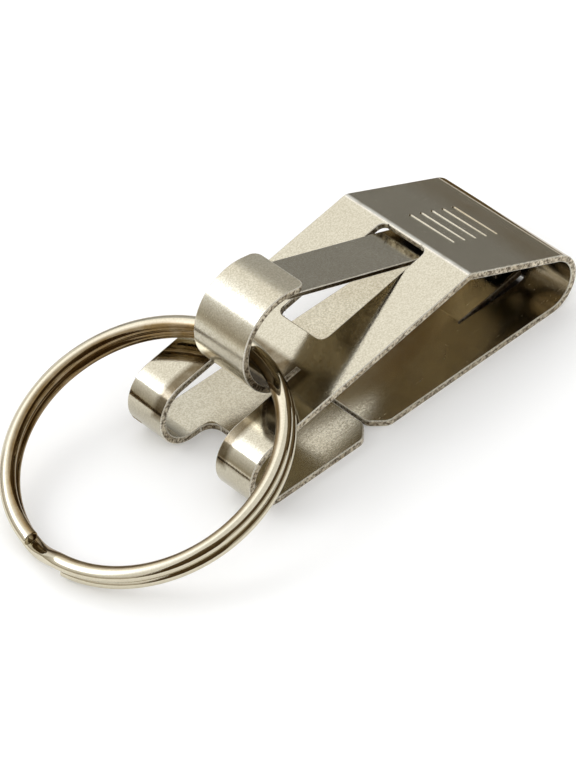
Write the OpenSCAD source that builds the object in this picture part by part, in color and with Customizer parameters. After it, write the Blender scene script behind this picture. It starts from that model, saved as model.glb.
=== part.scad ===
// Belt key clip folded from one strip of spring steel, with a spring gate and a split ring.
// The clip lies on its back: +X towards the round bend, +Z away from the belt.
// The origin is the middle of the back panel's outer face.

/* [Strip] */
// Width of the strip
strip_w = 19; // [17:0.5:24]
// Thickness of the strip
strip_t = 0.8; // [0.6:0.05:0.95]
// Overall length of the folded clip, without the ring
clip_l = 47.3; // [44:0.1:56]
// Outer radius of the round bend
bend_r = 3.8; // [3.6:0.1:4.2]
// Height of the crease between the top plate and the front panel
crease_h = 13.1; // [12:0.1:15]
// Distance from the round bend's outer end to the crease
crease_back = 15.3; // [14:0.1:17]
// Outer radius of the crease
crease_r = 1.2; // [1.1:0.1:2]

/* [Back panel] */
// Flat length of the back panel, from its free end to the round bend
back_l = 25.8; // [24:0.1:30]
// Gap between the ends of the back panel and the foot plate
end_gap = 0.35; // [0.3:0.05:1]
// Leg of the chamfered end corners
chamfer = 1.7; // [1:0.1:2.5]
// Width of the tab lanced out of the back panel
tab_w = 7.6; // [6.5:0.1:8.5]
// Flat length of the slot that the tab leaves in the back panel
slot_l = 8.5; // [7:0.1:9.5]
// Length of the tab's end that reaches into the round bend
tab_past = 1.3; // [0.8:0.1:1.6]
// Angle at which the tab rises
tab_deg = 8; // [6:0.5:9]
// Gap between the tab and each side of its slot
slot_gap = 0.15; // [0.1:0.05:0.4]

/* [Window and feet] */
// Length of the window in the front panel
window_l = 15.6; // [13:0.1:16]
// Inner corner radius of the window
window_r = 0.9; // [0.5:0.1:1.5]
// Length of the full-width web between the window and the slits
web_l = 4.1; // [3:0.1:5]
// Width of the slits that part the hook from the feet
slit_w = 0.45; // [0.3:0.05:0.8]
// Outer radius of the foot curls
foot_r = 4; // [3.6:0.1:4.4]
// Depth of the notch between the feet, past the curls
notch_l = 2.7; // [2:0.1:4]
// Corner radius of the notch
notch_r = 1.5; // [0.8:0.1:1.9]

/* [Ring hook] */
// Width of the hook
hook_w = 7.6; // [7:0.1:9]
// Outer radius of the hook's main curl
hook_r = 6.15; // [5.8:0.05:7]
// Outer radius of the tighter curl at the hook's root
hook_root_r = 2; // [1.6:0.1:2.6]
// Depth by which the main curl would dip below the tongue
hook_sag = 0.95; // [0.6:0.05:1.3]
// Angle at which the main curl ends, from the clip's long axis
hook_end_deg = 80; // [76:1:84]
// Length of the straight lip after the main curl
lip_l = 2; // [1.5:0.1:2.5]
// Corner radius of the lip
lip_r = 1; // [0.5:0.1:1.5]

/* [Gate spring] */
// Width of the gate spring
gate_w = 6.2; // [5.5:0.1:6.8]
// Thickness of the gate spring
gate_t = 0.6; // [0.4:0.05:0.65]
// Place of the hairpin's centre, beyond the start of the round bend
hair_out = 0.35; // [0:0.05:0.7]
// Length of the leg that lies over the tab
leg_l = 2.4; // [1.5:0.1:3.5]
// Gap between the leg and the tab at the round bend
leg_gap = 0.4; // [0.35:0.05:0.5]
// Gap between the gate spring and the round bend
nest_gap = 0.2; // [0.15:0.05:0.3]
// Drop of the gate's knee below the top plate at the crease
knee_drop = 0.45; // [0.3:0.05:0.8]
// Length of gate that reaches in under the hook's lip
gate_reach = 2.2; // [1.5:0.1:2.8]
// Gap between the gate's tip and the inside of the hook
gate_gap = 0.2; // [0.1:0.05:0.4]
// Gap between the gate and each side of the window
window_gap = 0.3; // [0.2:0.05:0.6]

/* [Grip marks] */
// Number of short grip grooves on the top plate
mark_count = 5; // [3:1:6]
// Distance between the grooves
mark_step = 1.7; // [1.2:0.1:1.8]
// Length of each groove
mark_l = 7; // [4:0.5:9]
// Radius of the cutter that makes each groove
mark_r = 0.35; // [0.2:0.05:0.5]
// Depth of each groove
mark_depth = 0.12; // [0.05:0.01:0.2]

/* [Split ring] */
// Outer diameter of the ring
ring_od = 31.8; // [30:0.1:34]
// Width of the ring's wire across the ring
wire_w = 1.8; // [1.4:0.1:2]
// Height of one turn of the wire
wire_h = 1.1; // [0.8:0.05:1.15]
// Distance between the ring's two turns
wire_pitch = 1.55; // [1.55:0.05:1.7]
// Place of the wire in the hook, behind the hook's centre
seat_back = 1.85; // [1.6:0.01:2]
// Gap between the ring and the near foot that it leans over
foot_gap = 0.2; // [0.15:0.05:0.6]
// Sideways place of the ring on the hook
ring_side = 0.9; // [0:0.1:1.2]
// Place of the upper turn's end around the ring
end_deg = 171; // [160:1:185]
// Angle between the two ends of the wire
ends_apart_deg = 18; // [15:1:22]

/* [Hidden] */
$fn = 96;

// Overrun of every cut
over = 1;
// Curls in the side view are drawn in steps of about this angle
curl_step = 5;
// Each loop of the ring has this many sections, and each section this many sides
loop_rings = 24;
wire_sides = 6;
// The wire rises from one turn to the next in this many steps
rise_steps = 4;
// Share of the wire's width that its sloping edges take on each side
edge_share = 0.22;

// Point at a distance and an angle from a centre, in the side view
function polar(r, a) = r * [cos(a), sin(a)];
// Angle of the outward normal where a line from p touches a circle, on either side
function touch_deg(c, r, p, side) =
    atan2(p.y - c.y, p.x - c.x) + side * acos(r / norm(p - c));

// Side view of the strip: the outer faces run through these points
bend_c = [back_l / 2, bend_r];
foot_c = [bend_c.x + bend_r - clip_l + foot_r, foot_r];
crease = [bend_c.x + bend_r - crease_back, crease_h];
top_deg = touch_deg(bend_c, bend_r, crease, -1);
front_deg = touch_deg(foot_c, foot_r, crease, 1);
front_slope = front_deg - 90;
top_slope = 90 - top_deg;
down_front = [-cos(front_slope), -sin(front_slope)];
off_front = polar(1, front_deg);
crease_half = (front_deg - top_deg) / 2;
crease_c = crease - polar(crease_r / cos(crease_half), (front_deg + top_deg) / 2);
crease_run = crease_r * tan(crease_half);

// Window, web and slits along the front panel, measured down from the crease
window_w = gate_w + 2 * window_gap;
window_end = crease_run + window_l;
slit_at = window_end + web_l;
root = crease + slit_at * down_front;
foot_w = (strip_w - hook_w) / 2 - slit_w;
foot_y = (strip_w - foot_w) / 2;

// Hook: its main curl is centred straight above the ends of the slits
root_low = root - strip_t * off_front;
hook_c = root_low + (hook_r - hook_sag) * off_front;
tongue_l = sqrt(pow(hook_r - hook_root_r, 2) - pow(hook_r - hook_sag - hook_root_r, 2));
curl_c = root_low + tongue_l * down_front + hook_root_r * off_front;
curl_deg = 360 + atan2(curl_c.y - hook_c.y, curl_c.x - hook_c.x);
lip_start = hook_c + polar(hook_r, hook_end_deg);
lip_dir = [sin(hook_end_deg), -cos(hook_end_deg)];
lip_end = lip_start + lip_l * lip_dir;

// Tab and slot
slot_x = bend_c.x - slot_l;
slot_w = tab_w + 2 * slot_gap;
tab_l = slot_l + tab_past;
slot_bend_deg = asin((tab_l * cos(tab_deg) - slot_l + slot_gap) / (bend_r - strip_t));
tab_top = slot_l * tan(tab_deg) + strip_t / cos(tab_deg);

// Gate spring: leg, hairpin, knee below the crease, and tip inside the hook
leg_z = tab_top + leg_gap;
// The hairpin starts level at the leg and nests inside the round bend
nest_r = bend_r - strip_t - nest_gap;
leg_depth = bend_r - leg_z;
hair_r = (nest_r * nest_r - leg_depth * leg_depth - hair_out * hair_out) / (nest_r - leg_depth) / 2;
hair_c = [bend_c.x + hair_out, leg_z + hair_r];
knee = crease - [0, strip_t / cos(top_slope) + knee_drop];
arm_deg = touch_deg(hair_c, hair_r, knee, -1);
arm_start = hair_c + polar(hair_r, arm_deg);
tip_x = lip_end.x - gate_reach;
tip_r = hook_r - strip_t - gate_gap;
tip = [tip_x, hook_c.y + sqrt(pow(tip_r, 2) - pow(tip_x - hook_c.x, 2))];
tip_deg = 90 + atan2(knee.y - tip.y, knee.x - tip.x);
knee_deg = (tip_deg + arm_deg) / 2;

// Ring: it lies on the floor at one end and runs through the hook at the other
ring_r = ring_od / 2;
wire_r = ring_r - wire_w / 2;
stack_h = wire_pitch + wire_h;
ring_reach = ring_r + wire_r;
seat_x = hook_c.x - seat_back;
// The ring's inner edge crosses the foot's outer side this far from the ring's middle
cross_at = sqrt(max(0, pow(ring_r - wire_w, 2) - pow(strip_w / 2 + ring_side, 2)));
// At that place the ring's lower face clears the foot's top by the gap
foot_top = crease.y - (crease.x - seat_x) * tan(front_slope);
clear_side = [ring_r + cross_at, (wire_r - cross_at) * tan(front_slope)];
ring_tilt = asin((foot_top + foot_gap) / norm(clear_side)) - atan2(clear_side.y, clear_side.x);
seat = [seat_x, ring_reach * sin(ring_tilt) + stack_h / 2 * cos(ring_tilt)];

// Angles of the wire's sections, from the lower end round twice to the upper end
rise_from = end_deg + 360;
rise_to = rise_from + ends_apart_deg;
turn_steps = loop_rings - 1;
turn_deg = 360 - ends_apart_deg;
wire_angles = concat(
    [for (i = [0 : turn_steps]) rise_from + turn_deg * (i / turn_steps - 1)],
    [for (i = [1 : rise_steps]) rise_from + ends_apart_deg * i / rise_steps],
    [for (i = [1 : turn_steps]) rise_to + turn_deg * i / turn_steps]
);
// Height of the wire's middle, with a smooth rise from the lower turn to the upper one
function rise_at(a) =
    let (s = max(0, min(1, (a - rise_from) / (rise_to - rise_from))))
    (s * s * (3 - 2 * s) - 1 / 2) * wire_pitch;

// Section of the wire: across the ring, then up
wire_edge = wire_w * edge_share;
wire_section = [
    [wire_w / 2, 0], [wire_w / 2 - wire_edge, wire_h / 2], [wire_edge - wire_w / 2, wire_h / 2],
    [-wire_w / 2, 0], [wire_edge - wire_w / 2, -wire_h / 2], [wire_w / 2 - wire_edge, -wire_h / 2]
];
wire_points = [
    for (a = wire_angles, p = wire_section)
        [(wire_r + p.x) * cos(a), (wire_r + p.x) * sin(a), p.y + rise_at(a)]
];
wire_last = wire_sides * (len(wire_angles) - 1);
wire_faces = concat(
    [for (k = [1 : wire_sides - 2]) [0, k + 1, k]],
    [for (i = [0 : len(wire_angles) - 2], k = [0 : wire_sides - 1])
        let (a = i * wire_sides + k, b = i * wire_sides + (k + 1) % wire_sides)
        [a, b, a + wire_sides]],
    [for (i = [0 : len(wire_angles) - 2], k = [0 : wire_sides - 1])
        let (a = i * wire_sides + k, b = i * wire_sides + (k + 1) % wire_sides)
        [b, b + wire_sides, a + wire_sides]],
    [for (k = [1 : wire_sides - 2]) [wire_last, wire_last + k, wire_last + k + 1]]
);
// Least distance between points of the wire that lie about a turn apart
wire_gap = min([
    for (i = [0 : len(wire_angles) - 1], j = [i + loop_rings / 2 : len(wire_angles) - 1])
        if (abs(wire_angles[j] - wire_angles[i] - 360) < 360 / loop_rings)
            min([for (k = [0 : wire_sides - 1], m = [0 : wire_sides - 1])
                norm(wire_points[i * wire_sides + k] - wire_points[j * wire_sides + m])])
]);
echo(str("least gap between the ring's turns, mm: ", wire_gap));

// Side view of a bent strip, as a path of [centre, outer radius, from, to] curls with straight
// stretches in between: a free end is a curl of no radius, with the outward normal as its angles
function curl_points(path, inset) = [
    for (c = path)
        let (steps = ceil(abs(c[3] - c[2]) / curl_step))
        for (i = [0 : steps])
            c[0] + polar(c[1] - inset, c[2] + (c[3] - c[2]) * i / max(steps, 1))
];

// The side view made a strip of the given width and thickness
module strip(w, t, path) {
    outer = curl_points(path, 0);
    inner = curl_points(path, t);
    rotate([90, 0, 0])
        linear_extrude(height = w, center = true)
            polygon(concat(outer, [for (i = [len(inner) - 1 : -1 : 0]) inner[i]]));
}

// Rectangle from the origin along +X with rounded corners
module rounded(l, w, r) {
    translate([r, -w / 2])
        square([l - 2 * r, w]);
    translate([0, r - w / 2])
        square([l, w - 2 * r]);
    for (x = [r, l - r], y = [r - w / 2, w / 2 - r])
        translate([x, y])
            circle(r);
}

// Cutter for the two chamfered corners of a panel whose end faces +X
module end_chamfers() {
    for (s = [-1, 1])
        translate([0, s * strip_w / 2, strip_t / 2])
            rotate([0, 0, 45])
                cube([chamfer * sqrt(2), chamfer * sqrt(2), strip_t + 2 * over], center = true);
}

module front_panel() {
    color("ivory")
        difference() {
            strip(strip_w, strip_t, [
                [crease + crease_run * down_front, 0, front_deg, front_deg],
                [root, 0, front_deg, front_deg]
            ]);
            translate([crease.x, 0, crease.y])
                rotate([0, -front_slope, 0])
                    translate([-window_end, 0, -strip_t - over])
                        linear_extrude(strip_t + 2 * over)
                            rounded(window_l, window_w, window_r);
        }
}

module top_plate() {
    plate_l = norm(bend_c + polar(bend_r, top_deg) - crease);
    color("silver")
        difference() {
            strip(strip_w, strip_t, [
                [bend_c + polar(bend_r, top_deg), 0, top_deg, top_deg],
                [crease_c, crease_r, top_deg, front_deg]
            ]);
            translate([crease.x, 0, crease.y])
                rotate([0, top_slope, 0])
                    for (i = [0 : mark_count - 1])
                        translate([plate_l / 2 + (i - (mark_count - 1) / 2) * mark_step, 0, mark_r - mark_depth])
                            rotate([90, 0, 0])
                                cylinder(h = mark_l, r = mark_r, center = true);
        }
}

module round_bend() {
    color("silver")
        difference() {
            strip(strip_w, strip_t, [[bend_c, bend_r, -90, top_deg]]);
            strip(slot_w, strip_t + 2 * over,
                  [[bend_c, bend_r + over, -90 - slot_bend_deg, slot_bend_deg - 90]]);
        }
}

module foot() {
    strip(foot_w, strip_t, [
        [root, 0, front_deg, front_deg],
        [foot_c, foot_r, front_deg, 270]
    ]);
}

module near_foot() {
    color("ivory")
        translate([0, -foot_y, 0])
            foot();
}

module far_foot() {
    color("ivory")
        translate([0, foot_y, 0])
            foot();
}

module foot_plate() {
    notch_w = strip_w - 2 * foot_w;
    end_x = -back_l / 2 - end_gap;
    color("silver")
        difference() {
            translate([foot_c.x, -strip_w / 2, 0])
                cube([end_x - foot_c.x, strip_w, strip_t]);
            translate([foot_c.x - notch_r - over, 0, -over])
                linear_extrude(strip_t + 2 * over)
                    rounded(notch_l + notch_r + over, notch_w, notch_r);
            translate([end_x, 0, 0])
                end_chamfers();
        }
}

module ring_hook() {
    color("silver")
        difference() {
            strip(hook_w, strip_t, [
                [root_low, 0, front_deg + 180, front_deg + 180],
                [curl_c, hook_root_r, front_deg + 180, curl_deg],
                [hook_c, hook_r, curl_deg, hook_end_deg],
                [lip_end, 0, hook_end_deg, hook_end_deg]
            ]);
            translate([lip_end.x, 0, lip_end.y])
                rotate([0, 90 - hook_end_deg, 0])
                    for (s = [-1, 1])
                        translate([-lip_r, s * (hook_w / 2 - lip_r), -strip_t - over])
                            difference() {
                                translate([0, min(0, s) * (lip_r + over), 0])
                                    cube([lip_r + over, lip_r + over, strip_t + 2 * over]);
                                cylinder(h = strip_t + 2 * over, r = lip_r);
                            }
        }
}

module back_panel() {
    color("peru")
        difference() {
            union() {
                difference() {
                    translate([-back_l / 2, -strip_w / 2, 0])
                        cube([back_l, strip_w, strip_t]);
                    translate([slot_x, -slot_w / 2, -over])
                        cube([slot_l + over, slot_w, strip_t + 2 * over]);
                }
                strip(tab_w, strip_t, [
                    [[slot_x, 0], 0, tab_deg - 90, tab_deg - 90],
                    [[slot_x, 0] + polar(tab_l, tab_deg), 0, tab_deg - 90, tab_deg - 90]
                ]);
            }
            translate([-back_l / 2, 0, 0])
                end_chamfers();
        }
}

module gate_root() {
    color("dimgray")
        strip(gate_w, gate_t, [
            [[hair_c.x - leg_l, leg_z], 0, -90, -90],
            [hair_c, hair_r, -90, arm_deg]
        ]);
}

module gate_arm() {
    color("dimgray")
        strip(gate_w, gate_t, [
            [arm_start, 0, arm_deg, arm_deg],
            [knee, 0, knee_deg, knee_deg],
            [tip, 0, tip_deg, tip_deg]
        ]);
}

module split_ring() {
    color("goldenrod")
        translate([seat.x, ring_side, seat.y])
            rotate([0, -ring_tilt, 0])
                translate([-wire_r, 0, 0])
                    polyhedron(points = wire_points, faces = wire_faces, convexity = 6);
}

front_panel();
top_plate();
round_bend();
near_foot();
far_foot();
foot_plate();
ring_hook();
back_panel();
gate_root();
gate_arm();
split_ring();
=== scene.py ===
from math import acos, asin, atan2, cos, degrees, pi, radians, sin, sqrt, tan

import bmesh
import bpy
from mathutils import Matrix, Vector


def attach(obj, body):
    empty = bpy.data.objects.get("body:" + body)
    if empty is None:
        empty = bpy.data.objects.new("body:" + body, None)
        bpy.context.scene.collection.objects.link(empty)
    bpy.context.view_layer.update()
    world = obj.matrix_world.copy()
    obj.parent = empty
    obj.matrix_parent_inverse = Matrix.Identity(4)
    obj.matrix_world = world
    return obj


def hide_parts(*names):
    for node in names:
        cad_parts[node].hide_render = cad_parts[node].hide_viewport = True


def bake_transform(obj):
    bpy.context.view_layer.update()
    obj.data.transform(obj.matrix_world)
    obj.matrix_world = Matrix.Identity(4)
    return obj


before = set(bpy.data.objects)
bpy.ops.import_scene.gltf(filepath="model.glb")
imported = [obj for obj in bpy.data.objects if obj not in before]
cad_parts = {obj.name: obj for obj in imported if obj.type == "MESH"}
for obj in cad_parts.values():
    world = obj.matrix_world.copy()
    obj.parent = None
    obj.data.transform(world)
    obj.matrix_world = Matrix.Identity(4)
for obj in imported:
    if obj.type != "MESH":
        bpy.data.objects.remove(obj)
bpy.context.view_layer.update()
mm = 0.001
exact, loose = 1e-3, 1e-2   # mm: how far a point may lie from a place and still be picked there
weld = 0.004                # mm: points closer than this become one

# Clip: one strip of spring steel, measured along its outer face in mm and degrees
clip = {
    "width": 19.0, "thick": 0.8, "length": 47.3,
    "bendRadius": 3.8, "creaseHeight": 13.1, "creaseBack": 15.3, "creaseRadius": 1.2,
    "backLength": 25.8, "endGap": 0.35, "chamfer": 1.7, "chamferSoft": 0.5,
    "windowLength": 15.6, "windowWidth": 6.8, "windowRadius": 0.9, "webLength": 4.1,
    "slitWidth": 0.45, "footRadius": 4.0, "notchDepth": 2.7, "notchRadius": 1.5,
    "hookWidth": 7.6, "hookRadius": 6.15, "hookRootRadius": 2.0, "hookSag": 0.95,
    "hookEnd": 80.0, "lipLength": 2.0, "lipRadius": 1.0,
    "tabWidth": 7.6, "slotGap": 0.15, "slotLength": 8.5, "tabLength": 9.8, "tabRise": 8.0,
    "tabRoot": 0.1, "tabBend": 2.0, "tabShare": 0.97,   # flat start, bend radius, how much of the length is made
    "tabTop": 2.6, "tabPast": 1.55, "tabSlack": 0.05,   # room that the tab takes up where the back panel is parted
    "flexAt": 0.2, "flexRun": 1.4, "flexRows": 5,       # where the back panel starts to spring, and over how far
    "edgeRound": 0.11, "edgeSegments": 3,
    "cornerShare": 0.995, "hollowProfile": 0.0858,      # hollow corners: share of their radius, and bevel profile
    "steps": {"foot": 44, "crease": 10, "bendTop": 18, "bendSide": 16, "bendSlot": 8, "curl": 12, "hook": 48,
              "tab": 4, "windowCorner": 7, "notchCorner": 9, "lipCorner": 6, "endCorner": 4},
}


# Plain geometry in the side view, in mm: x along the clip, z up
def polar(r, deg):
    return Vector((r * cos(radians(deg)), r * sin(radians(deg))))


def touchAngle(c, r, p, side):
    # Where a straight line from p touches a circle, on one side or the other
    d = p - c
    return degrees(atan2(d.y, d.x)) + side * degrees(acos(r / d.length))


def clipLines(c):
    g = {}
    g["bend"] = Vector((c["backLength"] / 2, c["bendRadius"]))
    g["foot"] = Vector((g["bend"].x + c["bendRadius"] - c["length"] + c["footRadius"], c["footRadius"]))
    g["crease"] = Vector((g["bend"].x + c["bendRadius"] - c["creaseBack"], c["creaseHeight"]))
    g["topDeg"] = touchAngle(g["bend"], c["bendRadius"], g["crease"], -1)
    g["frontDeg"] = touchAngle(g["foot"], c["footRadius"], g["crease"], 1)
    slope = g["frontDeg"] - 90
    g["down"] = Vector((-cos(radians(slope)), -sin(radians(slope))))
    g["off"] = polar(1, g["frontDeg"])
    half = (g["frontDeg"] - g["topDeg"]) / 2
    middle = (g["frontDeg"] + g["topDeg"]) / 2
    g["creaseRun"] = c["creaseRadius"] * tan(radians(half))
    g["creaseMid"] = g["crease"] - polar(c["creaseRadius"] / cos(radians(half)), middle)
    g["creaseTop"] = g["creaseMid"] + polar(c["creaseRadius"], middle)
    g["bendTop"] = g["bend"] + polar(c["bendRadius"], g["topDeg"])
    g["footRun"] = (g["foot"] + polar(c["footRadius"], g["frontDeg"]) - g["crease"]).length
    g["endX"] = -c["backLength"] / 2 - c["endGap"]
    g["notchX"] = g["foot"].x + c["notchDepth"]
    # Window and slits, by their distance down the front panel from the crease
    g["windowEnd"] = g["creaseRun"] + c["windowLength"]
    g["slitAt"] = g["windowEnd"] + c["webLength"]
    g["gap"] = c["hookWidth"] / 2 + c["slitWidth"]
    # Hook: a flat tongue, a small curl away from the panel and the large curl over the ring
    rootLow = g["crease"] + g["slitAt"] * g["down"] - c["thick"] * g["off"]
    g["hook"] = rootLow + (c["hookRadius"] - c["hookSag"]) * g["off"]
    rise = c["hookRadius"] - c["hookRootRadius"]
    g["tongue"] = sqrt(rise ** 2 - (rise - c["hookSag"]) ** 2)
    g["tongueEnd"] = g["slitAt"] + g["tongue"]
    g["curl"] = rootLow + g["tongue"] * g["down"] + c["hookRootRadius"] * g["off"]
    d = g["curl"] - g["hook"]
    g["curlDeg"] = degrees(atan2(d.y, d.x)) % 360
    # Slot that the tab leaves in the back panel and the start of the bend
    g["slotX"] = g["bend"].x - c["slotLength"]
    g["slotHalf"] = c["tabWidth"] / 2 + c["slotGap"]
    reach = c["tabLength"] * cos(radians(c["tabRise"])) - c["slotLength"] + c["slotGap"]
    g["slotBend"] = degrees(asin(reach / (c["bendRadius"] - c["thick"])))
    g["slotEnd"] = g["bend"].y - c["bendRadius"] * cos(radians(g["slotBend"]))
    return g


line = clipLines(clip)

# Gate: a second, thinner leaf. Its outer face runs from the leg round the hairpin's middle to knee and tip
gate = {
    "width": 6.2, "thick": 0.6, "legStart": Vector((10.85, 2.40246)), "hairpin": Vector((13.25, 4.45756)),
    "armStart": Vector((14.0598, 6.34639)), "armDeg": 66.7946, "knee": Vector((1.4, 11.7738)),
    "tip": Vector((-18.2943, 18.9594)), "kneeSoft": 1.6, "tipRadius": 0.7, "edgeRound": 0.09, "edgeSegments": 3,
    "hairpinSteps": 28, "kneeSteps": 8, "tipSteps": 6,
}

# Split ring: a flat wire wound twice, in mm and degrees
ring = {
    "diameter": 31.8, "wireWidth": 1.8, "wireHeight": 1.32, "pitch": 1.33, "wireSides": 28,
    "seat": (-20.9819, 11.3937), "side": 0.9, "tilt": 19.161,
    "endAt": 171.0, "endsApart": 18.0, "endRound": 0.15, "endSegments": 3, "turnSteps": 170, "riseSteps": 12,
}
wireRadius = (ring["diameter"] - ring["wireWidth"]) / 2


def ringMiddle():
    tilt = radians(ring["tilt"])
    return Vector((ring["seat"][0] - wireRadius * cos(tilt), ring["side"], ring["seat"][1] - wireRadius * sin(tilt)))


# Finishes. Each effect is a node group that several materials use with their own values
def feed(tree, socket, value):
    # Sets a plain value, or links what another node gives
    if isinstance(value, bpy.types.NodeSocket):
        tree.links.new(value, socket)
    else:
        socket.default_value = value


def addNode(tree, kind, inputs=(), **settings):
    node = tree.nodes.new("ShaderNode" + kind)
    for name, value in settings.items():
        setattr(node, name, value)
    for key, value in dict(inputs).items():
        feed(tree, node.inputs[key], value)
    return node


def objectPlace(tree):
    return addNode(tree, "TexCoord").outputs["Object"]


def mathNode(tree, operation, a, b=None):
    return addNode(tree, "Math", {0: a} if b is None else {0: a, 1: b}, operation=operation).outputs[0]


def vectorNode(tree, operation, a, b=None, give=0):
    return addNode(tree, "VectorMath", {0: a} if b is None else {0: a, 1: b}, operation=operation).outputs[give]


def noiseNode(tree, vector, scale, detail, rough=0.5, distortion=0.0):
    inputs = {"Vector": vector, "Scale": scale, "Detail": detail, "Roughness": rough, "Distortion": distortion}
    return addNode(tree, "TexNoise", inputs).outputs["Fac"]


def rangeNode(tree, value, low, high, toLow=0.0, toHigh=1.0):
    inputs = {"Value": value, "From Min": low, "From Max": high, "To Min": toLow, "To Max": toHigh}
    return addNode(tree, "MapRange", inputs, clamp=True).outputs["Result"]


def mixColor(tree, fac, a, b, blend="MIX"):
    a, b = (color + (1,) if isinstance(color, tuple) else color for color in (a, b))
    return addNode(tree, "Mix", {0: fac, 6: a, 7: b}, data_type="RGBA", blend_type=blend).outputs[2]


def newGroup(name, inputs, *outputs):
    group = bpy.data.node_groups.new(name, "ShaderNodeTree")
    for label, value in inputs.items():
        kind = "NodeSocketFloat" if isinstance(value, float) else "NodeSocketVector"
        group.interface.new_socket(name=label, in_out="INPUT", socket_type=kind).default_value = value
    for label in outputs:
        group.interface.new_socket(name=label, in_out="OUTPUT", socket_type="NodeSocketFloat")
    return group, group.nodes.new("NodeGroupInput").outputs, group.nodes.new("NodeGroupOutput").inputs


def placeGroup(tree, group, **values):
    node = addNode(tree, "Group", node_tree=group)
    for label, value in values.items():
        feed(tree, node.inputs[label.replace("_", " ")], value)
    return node.outputs


def newMaterial(name):
    material = bpy.data.materials.new(name)
    material.use_nodes = True
    return material, material.node_tree


def satinGroup():
    # Fine grain of plated strip, in height and in tone, with slow drifts in tone
    tree, given, result = newGroup("satinGrain", {"Grain Scale": 5200.0, "Drift Scale": 90.0},
                                   "Grain", "Drift", "Speckle")
    place = objectPlace(tree)
    feed(tree, result["Grain"], noiseNode(tree, place, given["Grain Scale"], detail=2.0, rough=0.6))
    drift = noiseNode(tree, place, given["Drift Scale"], detail=3.0, distortion=0.3)
    feed(tree, result["Drift"], rangeNode(tree, drift, low=0.3, high=0.7))
    finer = mathNode(tree, "MULTIPLY", given["Grain Scale"], 1.15)   # so that tone and height differ
    speckle = noiseNode(tree, place, finer, detail=1.5, rough=0.6)
    feed(tree, result["Speckle"], rangeNode(tree, speckle, low=0.36, high=0.64))
    return tree


def scratchGroup():
    # Short straight hairlines lying three ways; more coverage lets fainter streaks through
    tree, given, result = newGroup("hairScratches", {"Scale": 260.0, "Coverage": 0.5}, "Scratch")
    place = objectPlace(tree)
    fewest, spread, softness, stretch = 0.80, 0.1, 0.05, (1, 34, 20)
    low = mathNode(tree, "SUBTRACT", fewest, mathNode(tree, "MULTIPLY", given["Coverage"], spread))
    high = mathNode(tree, "ADD", low, softness)
    total = None
    for turn in ((0.3, 0.2, 0.5), (0.1, 0.4, 1.4), (0.5, 0.1, 2.5)):
        turned = addNode(tree, "Mapping", {"Vector": place, "Rotation": turn, "Scale": stretch}).outputs["Vector"]
        one = rangeNode(tree, noiseNode(tree, turned, given["Scale"], detail=1.0, rough=0.35), low, high)
        total = one if total is None else mathNode(tree, "MAXIMUM", total, one)
    feed(tree, result["Scratch"], total)
    return tree


def smudgeGroup():
    # Handling marks: soft dull patches with a few darker spots
    tree, given, result = newGroup("handlingMarks", {"Scale": 140.0}, "Dull", "Spot")
    place = objectPlace(tree)
    patch = noiseNode(tree, place, given["Scale"], detail=5.0, rough=0.7, distortion=0.8)
    feed(tree, result["Dull"], rangeNode(tree, patch, low=0.48, high=0.72))
    spots = noiseNode(tree, place, mathNode(tree, "MULTIPLY", given["Scale"], 7.0), detail=3.0, rough=0.7)
    feed(tree, result["Spot"], rangeNode(tree, spots, low=0.68, high=0.76))
    return tree


def darkeningGroup():
    # Cloudy darkening inside a box from one corner to the other, fading out towards its sides. Most boxes paint shade
    nothing = (0.0, 0.0, 0.0)
    tree, given, result = newGroup(
        "brownTarnish", {"Scale": 110.0, "Low": nothing, "High": nothing, "Soft": mm}, "Tarnish")
    place = objectPlace(tree)
    cloud = noiseNode(tree, place, given["Scale"], detail=6.0, rough=0.65, distortion=0.6)
    cloud = rangeNode(tree, cloud, low=0.25, high=0.65, toLow=0.5)
    inside = None
    for first, second in ((place, given["Low"]), (given["High"], place)):
        split = addNode(tree, "SeparateXYZ", {0: vectorNode(tree, "SUBTRACT", first, second)}).outputs
        for axis in "XYZ":
            inside = split[axis] if inside is None else mathNode(tree, "MINIMUM", inside, split[axis])
    reach = rangeNode(tree, inside, 0.0, given["Soft"])
    feed(tree, result["Tarnish"], mathNode(tree, "MULTIPLY", cloud, reach))
    return tree


def patchyNode(tree, place, amount, scale, detail, least):
    # Thins out an amount in patches, never below its least share
    patchy = rangeNode(tree, noiseNode(tree, place, scale, detail, rough=0.6), low=0.3, high=0.6, toLow=least)
    return mathNode(tree, "MULTIPLY", amount, patchy)


def ringInnerShadeGroup():
    # Painted shade on the side of the ring's wire that faces its middle
    tree, given, result = newGroup(
        "innerSideGrime",
        {"Center": (0.0, 0.0, 0.0), "Tilt": 0.0, "Clean Radius": 0.015, "Dark Radius": 0.0145}, "Grime")
    place = objectPlace(tree)
    away = vectorNode(tree, "SUBTRACT", place, given["Center"])
    level = addNode(tree, "VectorRotate", {"Vector": away, "Angle": given["Tilt"]}, rotation_type="Y_AXIS").outputs[0]
    radius = vectorNode(tree, "LENGTH", vectorNode(tree, "MULTIPLY", level, (1, 1, 0)), give="Value")
    grime = rangeNode(tree, radius, given["Dark Radius"], given["Clean Radius"], toLow=1.0, toHigh=0.0)
    feed(tree, result["Grime"], patchyNode(tree, place, grime, scale=420.0, detail=4.0, least=0.75))
    return tree


def creaseHighlightGroup():
    # Painted highlight: a bright line along a crease that runs across the clip
    tree, given, result = newGroup("creaseRub", {"Crease": (0.0, 0.0, 0.0), "Reach": 0.4 * mm}, "Rub")
    place = objectPlace(tree)
    away = vectorNode(tree, "DISTANCE", vectorNode(tree, "MULTIPLY", place, (1, 0, 1)), given["Crease"], "Value")
    near = rangeNode(tree, away, 0.0, given["Reach"], toLow=1.0, toHigh=0.0)
    feed(tree, result["Rub"], patchyNode(tree, place, near, scale=900.0, detail=3.0, least=0.5))
    return tree


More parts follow.
